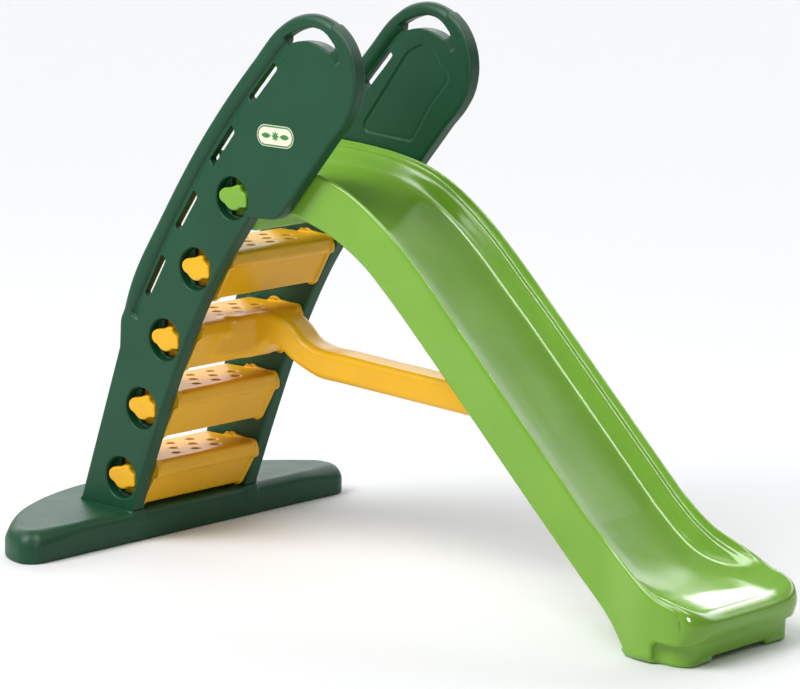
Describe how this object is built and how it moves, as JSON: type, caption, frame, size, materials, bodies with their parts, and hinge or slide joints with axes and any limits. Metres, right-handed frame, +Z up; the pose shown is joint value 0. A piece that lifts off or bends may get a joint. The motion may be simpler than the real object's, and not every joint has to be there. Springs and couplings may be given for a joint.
{
  "type": "folding toddler slide",
  "caption": "Folding toddler slide with a hollow moulded ladder on a wide bowed foot, handrails with hoops, a bracing arm from one step, and a one-piece chute with raised sides.",
  "frame": {"origin": "on the ground, at the centre of the whole slide's box", "axes": "+X from the ladder towards the chute's exit, +Y across the slide, +Z up"},
  "size_m": [2.302, 1.256, 1.506],
  "materials": {
    "green_plastic": "dark green moulded polyethylene with a satin skin",
    "yellow_plastic": "warm yellow moulded polyethylene with a satin skin",
    "lime_plastic": "lime green moulded polyethylene with a glossy skin",
    "label_film": "thin printed label",
    "screw_steel": "zinc-plated steel"
  },
  "bodies": {
    "ladder": {"base_foot": "green_plastic", "side_panel_right": "green_plastic", "side_panel_left": "green_plastic", "step_1": "yellow_plastic", "step_2": "yellow_plastic", "step_4": "yellow_plastic", "badge": "label_film", "panel_screws": "screw_steel"},
    "brace": {"step_3_brace": "yellow_plastic"},
    "chute": {"chute": "lime_plastic"}
  },
  "joints": [
    {"name": "chute_fold", "type": "hinge", "parent": "ladder", "child": "chute", "pos_m": [-0.40694, 0, 0.997], "axis": [0, 1, 0], "range_deg": [0, 45]},
    {"name": "brace_swing", "type": "hinge", "parent": "ladder", "child": "brace", "pos_m": [-0.66094, 0, 0.583], "axis": [0, 1, 0], "range_deg": [0, 63]}
  ],
  "couplings": [
    {"joint": "brace_swing", "follows": "chute_fold", "ratio": 1.4}
  ]
}
